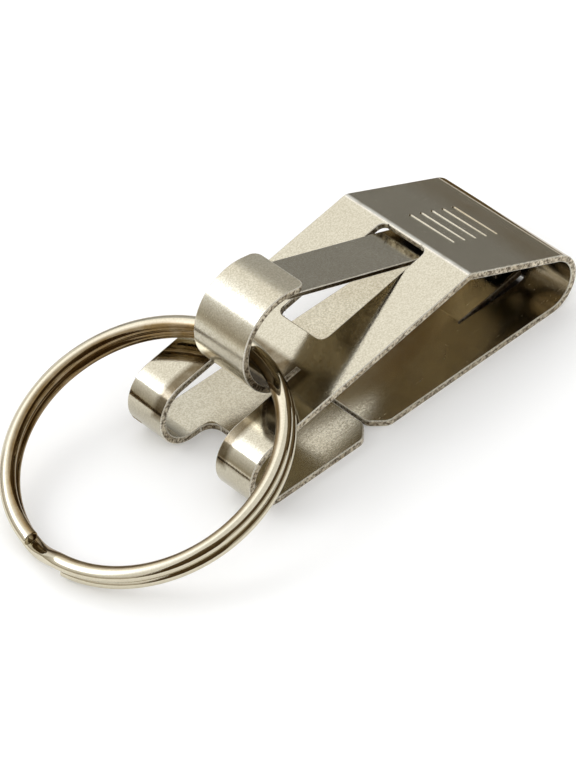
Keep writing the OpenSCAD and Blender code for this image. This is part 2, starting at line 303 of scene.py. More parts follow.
satin, scratches, smudges = satinGroup(), scratchGroup(), smudgeGroup()
tarnish, creaseRub, ringInnerShade = darkeningGroup(), creaseHighlightGroup(), ringInnerShadeGroup()


def metalMaterial(name, look):
    material, tree = newMaterial(name)
    shader = tree.nodes["Principled BSDF"].inputs
    shader["Metallic"].default_value = look["metallic"]
    grain = placeGroup(tree, satin, Grain_Scale=look["grainScale"], Drift_Scale=look["driftScale"])
    marks = placeGroup(tree, smudges, Scale=look["smudgeScale"])
    scratch = placeGroup(tree, scratches, Scale=look["scratchScale"], Coverage=look["scratchCover"])["Scratch"]
    color = mixColor(tree, grain["Drift"], look["color"], look["drift"])
    for amount, share in ((grain["Speckle"], look["speckle"]), (marks["Spot"], look["spots"])):
        color = mixColor(tree, mathNode(tree, "MULTIPLY", amount, share), color, look["dark"])
    # Darkening in boxes; most of the boxes are painted shade
    for darkBox in look["tarnish"]:
        cloud = placeGroup(tree, tarnish, Scale=darkBox["scale"], Low=Vector(darkBox["low"]) * mm,
                           High=Vector(darkBox["high"]) * mm, Soft=darkBox["soft"] * mm)
        color = mixColor(tree, cloud["Tarnish"], color, darkBox["tint"], "MULTIPLY")
    # A painted highlight along a crease
    if "rub" in look:
        rub = look["rub"]
        bright = placeGroup(tree, creaseRub, Crease=(rub["at"].x * mm, 0, rub["at"].y * mm), Reach=rub["reach"] * mm)
        color = mixColor(tree, bright["Rub"], color, rub["tint"])
    # Painted shade on the ring's inner side
    if "grime" in look:
        grime = look["grime"]
        side = placeGroup(tree, ringInnerShade, Center=ringMiddle() * mm, Tilt=radians(ring["tilt"]),
                          Clean_Radius=grime["cleanRadius"] * mm, Dark_Radius=grime["darkRadius"] * mm)
        color = mixColor(tree, side["Grime"], color, grime["tint"], "MULTIPLY")
    feed(tree, shader["Base Color"], color)
    rough = rangeNode(tree, marks["Dull"], 0.0, 1.0, look["rough"], look["roughDull"])
    for amount, share in ((grain["Speckle"], look["roughGrain"]), (scratch, look["roughScratch"])):
        rough = mathNode(tree, "ADD", rough, mathNode(tree, "MULTIPLY", amount, share))
    feed(tree, shader["Roughness"], rough)
    height = mathNode(tree, "SUBTRACT", mathNode(tree, "MULTIPLY", grain["Grain"], look["grainHeight"]),
                      mathNode(tree, "MULTIPLY", scratch, look["scratchHeight"]))
    bump = addNode(tree, "Bump", {"Strength": 1.0, "Distance": mm, "Height": height})
    feed(tree, shader["Normal"], bump.outputs["Normal"])
    return material


# Darkening fills a box between two corners, in mm
# Darker and browner towards the round bend, on the top plate and the bend's outer face
bendDarkening = dict(tint=(0.68, 0.58, 0.43), scale=160.0, low=(8.5, -20, 4), high=(30, 20, 20), soft=4.5)
# Painted shade inside the hook's curl
hookPaintedShade = dict(tint=(0.20, 0.15, 0.085), scale=260.0, low=(-40, -6, 4.6), high=(-17.6, 6, 30), soft=0.7)
# Painted shade on the inner faces under the top plate and round the bend
insidePaintedShade = dict(tint=(0.60, 0.49, 0.34), scale=150.0, low=(-1, -20, 0.5), high=(30, 20, 18.5), soft=5.0)
# Painted shade on the back panel's inner face towards the round bend
backPaintedShade = dict(tint=(0.62, 0.60, 0.56), scale=150.0, low=(7, -20, -5), high=(30, 20, 20), soft=4.0)
# Painted shade on the rounded rims round the web and the slits at the hook's root
webPaintedShade = dict(tint=(0.28, 0.22, 0.14), scale=300.0, low=(-20.2, -7, 7.9), high=(-13.2, 7, 11.6), soft=0.4)
# The leaf's leg lies deep in the round bend and is painted almost black, as shade
legPaintedShade = dict(tint=(0.10, 0.07, 0.04), scale=200.0, low=(-3, -20, -2), high=(30, 20, 8.4), soft=1.0)
# The cut edges of the back panel's tab and slot are painted almost black too, as shade
tabEdgePaintedShade = dict(tint=(0.09, 0.06, 0.03), scale=200.0, low=(1, -5.2, -2), high=(30, 5.2, 6), soft=0.5)

# What the finishes share. The larger a scale, the finer its marks
nickel = dict(metallic=1.0, grainScale=4800.0, driftScale=90.0, smudgeScale=150.0, scratchScale=240.0,
              scratchCover=0.5, roughScratch=0.08, tarnish=())
cutEdge = dict(nickel, driftScale=300.0, smudgeScale=400.0, scratchScale=320.0, scratchCover=0.3)
looks = {
    "stripNickel": dict(
        nickel, color=(0.575, 0.540, 0.435), drift=(0.545, 0.505, 0.398), dark=(0.22, 0.18, 0.11), speckle=0.30,
        spots=0.15, rough=0.08, roughDull=0.11, roughGrain=0.04, driftScale=70.0, smudgeScale=120.0,
        grainHeight=0.0032, scratchHeight=0.0015, tarnish=(bendDarkening, hookPaintedShade),
        # Painted highlight along the crease between the top plate and the front panel
        rub=dict(tint=(0.95, 0.93, 0.86), at=line["creaseTop"], reach=0.42)),
    "innerNickel": dict(
        nickel, color=(0.605, 0.570, 0.462), drift=(0.552, 0.503, 0.388), dark=(0.22, 0.18, 0.105), speckle=0.36,
        spots=0.30, rough=0.15, roughDull=0.23, roughGrain=0.05, driftScale=110.0, scratchCover=0.6,
        grainHeight=0.0034, scratchHeight=0.0018, tarnish=(insidePaintedShade,)),
    # The back panel's inner face: painted lighter than innerNickel as painted light, with painted shade towards the
    # bend
    "backNickel": dict(
        nickel, color=(0.77, 0.73, 0.59), drift=(0.67, 0.60, 0.45), dark=(0.30, 0.24, 0.14), speckle=0.42,
        spots=0.30, rough=0.16, roughDull=0.24, roughGrain=0.06, scratchCover=0.3,
        grainHeight=0.0040, scratchHeight=0.0008, tarnish=(backPaintedShade,)),
    "shearedEdge": dict(
        cutEdge, metallic=0.75, color=(0.72, 0.65, 0.51), drift=(0.44, 0.37, 0.25), dark=(0.075, 0.05, 0.025),
        speckle=0.95, spots=0.7, rough=0.30, roughDull=0.45, roughGrain=0.15, grainScale=2900.0, driftScale=420.0,
        smudgeScale=500.0, grainHeight=0.03, scratchHeight=0.002, tarnish=(tabEdgePaintedShade,)),
    # Rounded rims of the cut edges: the rounding is real, their lighter, half-matt colour a painted highlight
    "rubbedEdge": dict(
        cutEdge, metallic=0.45, color=(0.76, 0.73, 0.64), drift=(0.60, 0.56, 0.46), dark=(0.30, 0.25, 0.17),
        speckle=0.35, spots=0.3, rough=0.22, roughDull=0.30, roughGrain=0.08, grainScale=4200.0,
        grainHeight=0.004, scratchHeight=0.001, tarnish=(webPaintedShade, tabEdgePaintedShade)),
    "leafNickel": dict(
        nickel, color=(0.565, 0.535, 0.440), drift=(0.53, 0.50, 0.405), dark=(0.22, 0.185, 0.12), speckle=0.42,
        spots=0.12, rough=0.15, roughDull=0.19, roughGrain=0.05, grainScale=4600.0, smudgeScale=140.0,
        scratchScale=260.0, grainHeight=0.004, scratchHeight=0.0015, tarnish=(legPaintedShade,),
        # Painted highlight along the leaf's knee
        rub=dict(tint=(0.92, 0.90, 0.82), at=gate["knee"], reach=1.1)),
    # The leaf's underside, painted much darker than its top as painted shade
    "leafUnder": dict(
        nickel, color=(0.24, 0.20, 0.13), drift=(0.18, 0.145, 0.09), dark=(0.07, 0.05, 0.03), speckle=0.5,
        spots=0.4, rough=0.22, roughDull=0.30, roughGrain=0.08, grainScale=4400.0, driftScale=160.0,
        smudgeScale=180.0, scratchScale=260.0, scratchCover=0.6, grainHeight=0.005, scratchHeight=0.002),
    # The leaf's cut edges, painted near black as painted shade
    "leafEdge": dict(
        cutEdge, color=(0.17, 0.135, 0.085), drift=(0.11, 0.085, 0.05), dark=(0.06, 0.04, 0.02), speckle=0.6,
        spots=0.5, rough=0.18, roughDull=0.28, roughGrain=0.10, grainScale=3400.0,
        grainHeight=0.01, scratchHeight=0.001, tarnish=(legPaintedShade,)),
    "polishedWire": dict(
        nickel, color=(0.65, 0.602, 0.475), drift=(0.61, 0.555, 0.425), dark=(0.28, 0.23, 0.14), speckle=0.14,
        spots=0.15, rough=0.055, roughDull=0.085, roughGrain=0.02, grainScale=4200.0, driftScale=80.0,
        scratchScale=300.0, scratchCover=0.4, grainHeight=0.0012, scratchHeight=0.001,
        # Painted shade on the side of the wire that faces the ring's middle
        grime=dict(tint=(0.36, 0.26, 0.14), cleanRadius=15.05, darkRadius=14.55)),
}
# The leaf's rounded rims: the same painted highlight, with the leg's painted shade
looks["leafRub"] = dict(looks["rubbedEdge"], tarnish=(legPaintedShade,))
print("stage: finishes")
finish = {name: metalMaterial(name, look) for name, look in looks.items()}


def dress(piece, *names):
    for name in names:
        piece.data.materials.append(finish[name])


# Modelling helpers. Sizes are in mm and turned into metres at the call
def deselectAll():
    if bpy.context.object and bpy.context.object.mode != "OBJECT":
        bpy.ops.object.mode_set(mode="OBJECT")
    bpy.ops.object.select_all(action="DESELECT")


def selectOnly(obj):
    deselectAll()
    bpy.context.view_layer.objects.active = obj
    obj.select_set(True)


def startEdit(obj):
    selectOnly(obj)
    bpy.ops.object.mode_set(mode="EDIT")


def endEdit():
    bpy.ops.object.mode_set(mode="OBJECT")


def pick(obj, kind, test):
    # Selects the faces, edges or vertices whose points, in mm, all pass the test
    bpy.ops.mesh.select_mode(type={"faces": "FACE", "edges": "EDGE", "verts": "VERT"}[kind])
    bpy.ops.mesh.select_all(action="DESELECT")
    bm = bmesh.from_edit_mesh(obj.data)
    for item in getattr(bm, kind):
        points = [item.co / mm] if kind == "verts" else [v.co / mm for v in item.verts]
        if all(test(p) for p in points):
            item.select_set(True)
    bm.select_flush_mode()
    bmesh.update_edit_mesh(obj.data)


def deleteFaces(obj, test):
    pick(obj, "faces", test)
    bpy.ops.mesh.delete(type="FACE")


def cutAlong(obj, test, y):
    # A line along the strip at one y, through the faces that pass the test
    pick(obj, "faces", test)
    bpy.ops.mesh.bisect(plane_co=(0, y * mm, 0), plane_no=(0, 1, 0))


def roundCorners(obj, test, radius, segments, profile=0.5):
    pick(obj, "verts", test)
    bpy.ops.mesh.bevel(offset=radius * mm, segments=segments, profile=profile, affect="VERTICES")


def pushLine(dx, dz):
    bpy.ops.mesh.extrude_region_move(TRANSFORM_OT_translate={"value": (dx * mm, 0, dz * mm)})


def pushTurn(center, sweep, steps):
    # Positive sweep is from +X towards +Z in the side view
    bpy.ops.mesh.spin(steps=steps, angle=radians(sweep), center=(center.x * mm, 0, center.y * mm), axis=(0, 1, 0))


def pushRound(sweep, steps):
    # Round the upright axis; positive sweep is from +X towards +Y
    bpy.ops.mesh.spin(steps=steps, angle=-radians(sweep), center=(0, 0, 0), axis=(0, 0, 1))


def newSheet(name, x0, x1, z, width):
    # A flat first stretch; the strip grows from its edge at x1
    deselectAll()
    bpy.ops.mesh.primitive_plane_add(size=1, location=((x0 + x1) / 2 * mm, 0, z * mm))
    obj = bpy.context.object
    obj.name = name
    obj.scale = (abs(x1 - x0) * mm, width * mm, 1)
    bpy.ops.object.transform_apply()
    startEdit(obj)
    pick(obj, "edges", lambda p: abs(p.x - x1) < exact)
    return obj


def closeSheet(obj, onTop):
    # Welds the sheet and turns its outer side out, which looks up wherever onTop holds
    bpy.ops.mesh.select_all(action="SELECT")
    bpy.ops.mesh.remove_doubles(threshold=weld * mm)
    bpy.ops.mesh.normals_make_consistent(inside=False)
    endEdit()
    if any(onTop(face.center / mm) and face.normal.z < 0 for face in obj.data.polygons):
        startEdit(obj)
        bpy.ops.mesh.select_all(action="SELECT")
        bpy.ops.mesh.flip_normals()
        endEdit()


def addBevel(obj, name, width, segments, fromAngle):
    soft = obj.modifiers.new(name, "BEVEL")
    soft.width, soft.segments = width * mm, segments
    soft.limit_method, soft.angle_limit = "ANGLE", radians(fromAngle)
    return soft


def applyAll(obj):
    selectOnly(obj)
    for modifier in list(obj.modifiers):
        bpy.ops.object.modifier_apply(modifier=modifier.name)


def thicken(obj, thick, edgeRound, segments):
    # Material slots: 0 outer face, 1 inner face, 2 cut edge, 3 rounded rim
    solid = obj.modifiers.new("sheetThickness", "SOLIDIFY")
    solid.thickness, solid.offset, solid.use_even_offset = thick * mm, -1, True
    solid.material_offset, solid.material_offset_rim = 1, 2
    soft = addBevel(obj, "shearedEdgeRound", edgeRound, segments, 40)
    soft.use_clamp_overlap = False
    soft.material = 3
    applyAll(obj)


def smoothShade(obj, angle=35):
    selectOnly(obj)
    bpy.ops.object.shade_smooth_by_angle(angle=radians(angle))
    weigh = obj.modifiers.new("flatFirst", "WEIGHTED_NORMAL")
    weigh.keep_sharp, weigh.weight = True, 100
    applyAll(obj)


# Clip
def onFront(p, low, high=99):
    # On the front panel's face, between two distances down from the crease
    d = Vector((p.x, p.z)) - line["crease"]
    return abs(d.dot(line["off"])) < 2 * loose and low - exact < d.dot(line["down"]) < high + exact


def foldStrip():
    # From the foot plate round the feet, up the front panel, over and back, with a line wherever a cut starts
    c, g, steps = clip, line, clip["steps"]
    obj = newSheet("clipStrip", g["endX"], g["notchX"], 0, c["width"])
    pushLine(-c["notchRadius"], 0)
    pushLine(g["foot"].x - (g["notchX"] - c["notchRadius"]), 0)
    pushTurn(g["foot"], -(270 - g["frontDeg"]), steps["foot"])
    at = g["footRun"]
    for stop in (g["tongueEnd"], g["slitAt"], g["windowEnd"], g["windowEnd"] - c["windowRadius"],
                 g["creaseRun"] + c["windowRadius"], g["creaseRun"]):
        pushLine(-(at - stop) * g["down"].x, -(at - stop) * g["down"].y)
        at = stop
    pushTurn(g["creaseMid"], g["topDeg"] - g["frontDeg"], steps["crease"])
    creaseEnd = g["creaseMid"] + polar(c["creaseRadius"], g["topDeg"])
    pushLine(g["bendTop"].x - creaseEnd.x, g["bendTop"].y - creaseEnd.y)
    pushTurn(g["bend"], -g["topDeg"], steps["bendTop"])
    pushTurn(g["bend"], g["slotBend"] - 90, steps["bendSide"])
    pushTurn(g["bend"], -g["slotBend"], steps["bendSlot"])
    pushLine(-c["flexAt"], 0)
    for i in range(c["flexRows"]):
        pushLine(-c["flexRun"] / c["flexRows"], 0)
    pushLine(g["slotX"] - g["bend"].x + c["flexAt"] + c["flexRun"], 0)
    pushLine(-c["backLength"] / 2 - g["slotX"], 0)
    return obj


def cutOpenings(obj):
    # Window, slits, gap between the feet with its notch, and the tab's slot
    c, g, steps = clip, line, clip["steps"]
    half, r = c["windowWidth"] / 2, c["windowRadius"]
    hookHalf, notchHalf = c["hookWidth"] / 2, g["gap"] - c["notchRadius"]
    windowTop, notchStart = g["creaseRun"], g["notchX"] - c["notchRadius"]
    isFlat = lambda p: abs(p.z) < exact
    onWindow = lambda p: onFront(p, windowTop, g["windowEnd"])
    onTongue = lambda p: onFront(p, g["slitAt"], g["tongueEnd"])
    onSlot = lambda p: p.z < g["slotEnd"] + exact and p.x > g["slotX"] - exact

    # Lines along the strip, only where a cut needs them
    for y in (half, half - r):
        for side in (-1, 1):
            cutAlong(obj, onWindow, side * y)
    for side in (-1, 1):
        cutAlong(obj, onTongue, side * hookHalf)
        cutAlong(obj, lambda p: onFront(p, g["slitAt"]) or p.x < g["foot"].x + exact
                 or (p.x < g["notchX"] + exact and isFlat(p)), side * g["gap"])
        cutAlong(obj, lambda p: isFlat(p) and notchStart - exact < p.x < g["notchX"] + exact, side * notchHalf)
        cutAlong(obj, onSlot, side * g["slotHalf"])

    # The openings, leaving small squares in the round corners
    deleteFaces(obj, lambda p: onWindow(p) and abs(p.y) < half - r + exact)
    deleteFaces(obj, lambda p: onFront(p, windowTop + r, g["windowEnd"] - r) and abs(p.y) < half + exact)
    for side in (-1, 1):
        deleteFaces(obj, lambda p: onTongue(p) and hookHalf - exact < side * p.y < g["gap"] + exact)
    deleteFaces(obj, lambda p: abs(p.y) < g["gap"] + exact and (
        onFront(p, g["tongueEnd"]) or p.x < g["foot"].x + exact or (isFlat(p) and p.x < notchStart + exact)))
    deleteFaces(obj, lambda p: isFlat(p) and p.x < g["notchX"] + exact and abs(p.y) < notchHalf + exact)
    deleteFaces(obj, lambda p: onSlot(p) and abs(p.y) < g["slotHalf"] + exact)

    # Hollow round corners of the window and the notch
    ends = (windowTop + r, g["windowEnd"] - r)
    roundCorners(obj, lambda p: abs(abs(p.y) - (half - r)) < exact and any(onFront(p, end, end) for end in ends),
                 r * c["cornerShare"], steps["windowCorner"], c["hollowProfile"])
    roundCorners(obj, lambda p: abs(abs(p.y) - notchHalf) < exact and isFlat(p) and abs(p.x - notchStart) < exact,
                 c["notchRadius"] * c["cornerShare"], steps["notchCorner"], c["hollowProfile"])


def growHook(obj):
    # From the tongue's end: the small curl, the large curl and the lip
    c, g = clip, line
    pick(obj, "edges", lambda p: onFront(p, g["tongueEnd"], g["tongueEnd"]) and abs(p.y) < c["hookWidth"] / 2 + exact)
    pushTurn(g["curl"], g["curlDeg"] - (g["frontDeg"] + 180), c["steps"]["curl"])
    pushTurn(g["hook"], c["hookEnd"] - g["curlDeg"], c["steps"]["hook"])
    lip = c["lipLength"] * Vector((sin(radians(c["hookEnd"])), -cos(radians(c["hookEnd"]))))
    pushLine(lip.x, lip.y)
    tip = g["hook"] + polar(c["hookRadius"] - c["thick"], c["hookEnd"]) + lip
    roundCorners(obj, lambda p: abs(p.x - tip.x) < loose and abs(p.z - tip.y) < loose,
                 c["lipRadius"], c["steps"]["lipCorner"])


def growTab(obj):
    # From the slot's root, narrowed by the slot's side gaps
    c, g = clip, line
    pick(obj, "edges", lambda p: abs(p.x - g["slotX"]) < exact and abs(p.z) < exact
         and abs(p.y) < g["slotHalf"] + exact)
    pushLine(c["tabRoot"], 0)
    bpy.ops.transform.resize(value=(1, c["tabWidth"] / 2 / g["slotHalf"], 1))
    pushTurn(Vector((g["slotX"] + c["tabRoot"], c["tabBend"])), c["tabRise"], c["steps"]["tab"])
    length, rise = c["tabLength"] * c["tabShare"], radians(c["tabRise"])
    pushLine(length * cos(rise) - c["tabRoot"], length * sin(rise))


def chamferEnds(obj):
    # Both ends of the strip, with the chamfers' own corners eased
    c = clip
    half, cut = c["width"] / 2, c["chamfer"]
    for x in (line["endX"], -c["backLength"] / 2):
        pick(obj, "verts", lambda p: abs(p.x - x) < exact and abs(abs(p.y) - half) < exact)
        bpy.ops.mesh.bevel(offset=cut * mm, segments=1, affect="VERTICES")
        onEnd = lambda p: abs(p.x - x) < exact and abs(abs(p.y) - (half - cut)) < loose
        onSide = lambda p: abs(abs(p.x - x) - cut) < loose and abs(abs(p.y) - half) < exact
        roundCorners(obj, lambda p: abs(p.z) < exact and (onEnd(p) or onSide(p)),
                     c["chamferSoft"], c["steps"]["endCorner"])


# Short grip grooves across the middle of the top plate, where thumbs press, in mm
grooves = {"count": 5, "step": 1.7, "length": 7.0, "radius": 0.35, "depth": 0.12, "sides": 32,
           "endShare": 0.9, "endSegments": 4}


def cutGrooves(obj):
    c, g = grooves, line
    slope = 90 - g["topDeg"]
    run = (g["bendTop"] - g["crease"]).length
    down = Vector((cos(radians(slope)), -sin(radians(slope))))
    tools = []
    for i in range(c["count"]):
        at = g["crease"] + (run / 2 + (i - (c["count"] - 1) / 2) * c["step"]) * down
        at = at + polar(c["radius"] - c["depth"], g["topDeg"])
        deselectAll()
        bpy.ops.mesh.primitive_cylinder_add(vertices=c["sides"], radius=c["radius"] * mm, depth=c["length"] * mm,
                                            location=(at.x * mm, 0, at.y * mm), rotation=(pi / 2, 0, 0))
        tool = bpy.context.object
        bpy.ops.object.transform_apply()
        addBevel(tool, "roundEnds", c["radius"] * c["endShare"], c["endSegments"], 60)
        applyAll(tool)
        tools.append(tool)
    selectOnly(tools[0])
    for tool in tools:
        tool.select_set(True)
    bpy.ops.object.join()
    cutter = bpy.context.object
    cut = obj.modifiers.new("gripGrooves", "BOOLEAN")
    cut.operation, cut.object, cut.solver = "DIFFERENCE", cutter, "EXACT"
    applyAll(obj)
    bpy.data.objects.remove(cutter, do_unlink=True)


def partBack(obj):
    # The back panel with its tab becomes a piece of its own, because it springs; both cut ends are closed
    c, g = clip, line
    flexX = g["bend"].x - c["flexAt"]

    def onBack(p):
        plate = p.x < flexX + exact and p.z < c["thick"] + loose
        tab = abs(p.y) < g["slotHalf"] - c["tabSlack"] and p.z < c["tabTop"] and p.x < flexX + c["tabPast"]
        return p.x > -c["backLength"] / 2 - loose and (plate or tab)

    startEdit(obj)
    pick(obj, "faces", onBack)
    bpy.ops.mesh.separate(type="SELECTED")
    endEdit()
    back = [other for other in bpy.context.selected_objects if other != obj][0]
    for piece in (obj, back):
        startEdit(piece)
        bpy.ops.mesh.select_mode(type="EDGE")
        bpy.ops.mesh.select_all(action="DESELECT")
        bpy.ops.mesh.select_non_manifold()
        bpy.ops.mesh.fill_holes(sides=0)
        endEdit()
    return back


print("stage: clip")
clipStrip = foldStrip()
for shape in (cutOpenings, growHook, growTab, chamferEnds):
    shape(clipStrip)
closeSheet(clipStrip, lambda p: p.z > 11 and p.x > 3)   # on the top plate
dress(clipStrip, "stripNickel", "innerNickel", "shearedEdge", "rubbedEdge")
thicken(clipStrip, clip["thick"], clip["edgeRound"], clip["edgeSegments"])
cutGrooves(clipStrip)
backSpring = partBack(clipStrip)
backSpring.name = "backSpring"
# The back panel's inner face gets a lighter copy of the inner finish, as painted light
backSpring.data.materials[1] = finish["backNickel"]
for piece in (clipStrip, backSpring):
    smoothShade(piece)
    print("  faces", len(piece.data.polygons))
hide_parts("front_panel", "top_plate", "round_bend", "near_foot", "far_foot", "foot_plate", "ring_hook")
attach(clipStrip, "clip")
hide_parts("back_panel")
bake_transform(backSpring)


# Gate: tucked into the round bend, its free end under the hook's lip
def buildGate():
    g = gate
    obj = newSheet("gateLeaf", g["legStart"].x, g["hairpin"].x, g["legStart"].y, g["width"])
    pushTurn(g["hairpin"], g["armDeg"] + 90, g["hairpinSteps"])
    pushLine(g["knee"].x - g["armStart"].x, g["knee"].y - g["armStart"].y)
    pushLine(g["tip"].x - g["knee"].x, g["tip"].y - g["knee"].y)
    pick(obj, "edges", lambda p: abs(p.x - g["knee"].x) < exact and abs(p.z - g["knee"].y) < exact)
    bpy.ops.mesh.bevel(offset=g["kneeSoft"] * mm, segments=g["kneeSteps"], affect="EDGES")
    roundCorners(obj, lambda p: abs(p.x - g["tip"].x) < exact and abs(p.z - g["tip"].y) < exact,
                 g["tipRadius"], g["tipSteps"])
    closeSheet(obj, lambda p: p.z > 8)   # on the arm
    return obj


print("stage: gate")
gateLeaf = buildGate()
dress(gateLeaf, "leafNickel", "leafUnder", "leafEdge", "leafRub")
thicken(gateLeaf, gate["thick"], gate["edgeRound"], gate["edgeSegments"])
smoothShade(gateLeaf)
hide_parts("gate_root", "gate_arm")
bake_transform(gateLeaf)
print("  faces", len(gateLeaf.data.polygons))


# Split ring: its ends lie side by side, and it rests in the hook
def buildRing():
    r = ring
    deselectAll()
    bpy.ops.mesh.primitive_circle_add(vertices=r["wireSides"], radius=0.5, fill_type="NGON", rotation=(pi / 2, 0, 0))
    obj = bpy.context.object
    obj.name = "splitRing"
    bpy.ops.object.transform_apply(location=False, rotation=True, scale=False)
    obj.scale = (r["wireWidth"] * mm, 1, r["wireHeight"] * mm)
    obj.location = (wireRadius * mm, 0, -r["pitch"] / 2 * mm)
    bpy.ops.object.transform_apply()
    obj.rotation_euler = (0, 0, radians(r["endAt"] + r["endsApart"]))
    bpy.ops.object.transform_apply(location=False, rotation=True, scale=False)
    startEdit(obj)
    bpy.ops.mesh.select_all(action="SELECT")
    # One flat turn, a short climb onto it, and a second flat turn
    flat = 360 - r["endsApart"]
    pushRound(flat, r["turnSteps"])
    for i in range(r["riseSteps"]):
        low, high = i / r["riseSteps"], (i + 1) / r["riseSteps"]
        climb = high * high * (3 - 2 * high) - low * low * (3 - 2 * low)
        pushRound(r["endsApart"] / r["riseSteps"], 1)
        bpy.ops.transform.translate(value=(0, 0, r["pitch"] * climb * mm))
    pushRound(flat, r["turnSteps"])
    bpy.ops.mesh.select_all(action="SELECT")
    bpy.ops.mesh.remove_doubles(threshold=exact * mm)
    bpy.ops.mesh.normals_make_consistent(inside=False)
    endEdit()
    addBevel(obj, "cutEndRound", r["endRound"], r["endSegments"], 60)
    applyAll(obj)
    # Into the hook: tipped so that its far side rests on the hook and its near side on the feet
    obj.location = (-wireRadius * mm, 0, 0)
    bpy.ops.object.transform_apply(location=True, rotation=False, scale=False)
    obj.rotation_euler = (0, -radians(r["tilt"]), 0)
    obj.location = (r["seat"][0] * mm, r["side"] * mm, r["seat"][1] * mm)
    bpy.ops.object.transform_apply()
    return obj


print("stage: split ring")
splitRing = buildRing()
dress(splitRing, "polishedWire")
smoothShade(splitRing, 30)
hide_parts("split_ring")
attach(splitRing, "ring")
print("  faces", len(splitRing.data.polygons))

# Camera: where it stands and how it is turned, found from the edges in the photograph
cameraSetup = {
    "place": (-222.22, -254.05, 304.01), "nearest": 10.0,      # mm
    "azimuth": -38.988, "elevation": 42.582, "roll": -5.349,   # degrees
    "focalPixels": 4242.5, "imageHeight": 768, "sensorSize": 36.0,   # the sensor's long side stands upright
}


def setCamera():
    c = cameraSetup
    a, e, r = (radians(c[k]) for k in ("azimuth", "elevation", "roll"))
    back = Vector((sin(a) * cos(e), -cos(a) * cos(e), sin(e)))
    right = Vector((cos(a), sin(a), 0))
    up = back.cross(right)
    turned = Matrix((right * cos(r) + up * sin(r), up * cos(r) - right * sin(r), back)).transposed()
    bpy.ops.object.camera_add()
    camera = bpy.context.object
    camera.name = "photoCamera"
    camera.matrix_world = Matrix.Translation(Vector(c["place"]) * mm) @ turned.to_4x4()
    camera.data.sensor_width = c["sensorSize"]
    camera.data.lens = c["focalPixels"] * c["sensorSize"] / c["imageHeight"]
    camera.data.clip_start = c["nearest"] * mm
    bpy.context.scene.camera = camera


# Studio: pale floor, white surroundings, soft lamps, and paper screens and cards that show only in the metal
studio = {
    "floorDrop": 0.03,   # mm
    "floorSize": 4.0, "floorColor": (0.94, 0.94, 0.935), "floorRough": 0.9, "floorGlow": 0.08, "worldLevel": 1.0,
    # A painted shadow on the floor under the tab's slot, in mm
    "underTabShadow": {"middle": (9.3, 0.0), "half": (5.7, 4.6), "soft": 1.0, "color": (0.03, 0.02, 0.012)},   # mm
    # Lamps: direction from the object, distance and size in m, brightness against white, seen in metal or not
    "lamps": [
        {"name": "keyBox", "toward": (-0.56, 0.57, 0.60), "distance": 0.9, "size": (0.45, 0.52), "level": 2.3,
         "inMetal": False},
        {"name": "topBox", "toward": (0.18, 0.57, 0.82), "distance": 1.0, "size": (0.80, 0.60), "level": 0.45,
         "inMetal": True},
    ],
    # What the metal shows of the key lamp: a soft glow, brightest in the middle
    "glow": {"name": "keyGlow", "toward": (-0.53, 0.57, 0.63), "distance": 0.9, "size": 1.3,
             "color": (0.86, 0.93, 1.10), "level": 4.2, "fall": 20.0},
    # Walls on an arc round the object, from one angle to another; radius, heights and colour change in m
    "screenRadius": 0.75, "screenFoot": -0.01,
    "screens": [
        {"name": "cameraScreen", "high": 1.50, "from": -160.0, "to": -105.0, "steps": 12,
         "start": 0.60, "end": 1.30, "colors": ((0.075, 0.047, 0.021), (0.16, 0.12, 0.07))},
        {"name": "nearScreen", "high": 1.50, "from": -105.0, "to": -35.0, "steps": 16,
         "start": 0.28, "end": 0.44, "colors": ((0.50, 0.47, 0.40), (0.090, 0.058, 0.028))},
        {"name": "rightScreen", "high": 1.50, "from": -35.0, "to": 19.0, "steps": 12,
         "start": 0.25, "end": 0.80, "colors": ((0.055, 0.034, 0.014), (0.16, 0.12, 0.07))},
        {"name": "behindScreen", "high": 0.70, "from": 19.0, "to": 78.0, "steps": 16,
         "start": 0.08, "end": 0.68, "colors": ((0.262, 0.256, 0.245), (0.80, 0.80, 0.80))},
        {"name": "leftScreen", "high": 0.52, "from": 105.0, "to": 205.0, "steps": 24,
         "start": 0.02, "end": 0.52, "colors": ((0.40, 0.36, 0.29), (0.95, 0.95, 0.95))},
    ],
    # Cards on the floor, behind the clip and far off on the left: sizes and lift in mm, colour change in m
    "cardLift": 0.015,
    "floorCards": [
        # The shade card is a painted shadow of the clip on the floor, which only the metal shows
        {"name": "shadeCard", "lowX": -30.0, "highX": 75.0, "lowY": 9.7, "highY": 60.0,
         "start": -0.005, "end": 0.030, "colors": ((0.36, 0.29, 0.18), (0.12, 0.08, 0.035))},
        {"name": "leftCard", "lowX": -700.0, "highX": -85.0, "lowY": -150.0, "highY": 650.0,
         "start": -0.20, "end": -0.09, "colors": ((0.42, 0.38, 0.31), (0.80, 0.77, 0.70))},
    ],
}


def lookAlong(direction):
    return Vector(direction).normalized().to_track_quat("Z", "Y").to_euler()


def showInMetal(obj, material):
    # Dresses a studio surface that only reflections show
    obj.data.materials.append(material)
    obj.visible_camera = obj.visible_shadow = obj.visible_diffuse = obj.visible_transmission = False


def paperMaterial(c, axis):
    # Matt paper whose colour changes along one axis of the studio
    paper, tree = newMaterial(c["name"] + "Paper")
    shader = tree.nodes["Principled BSDF"].inputs
    place = addNode(tree, "SeparateXYZ", {0: objectPlace(tree)}).outputs[axis]
    feed(tree, shader["Base Color"], mixColor(tree, rangeNode(tree, place, c["start"], c["end"]), *c["colors"]))
    shader["Roughness"].default_value = 1.0
    shader["Specular IOR Level"].default_value = 0.0
    return paper


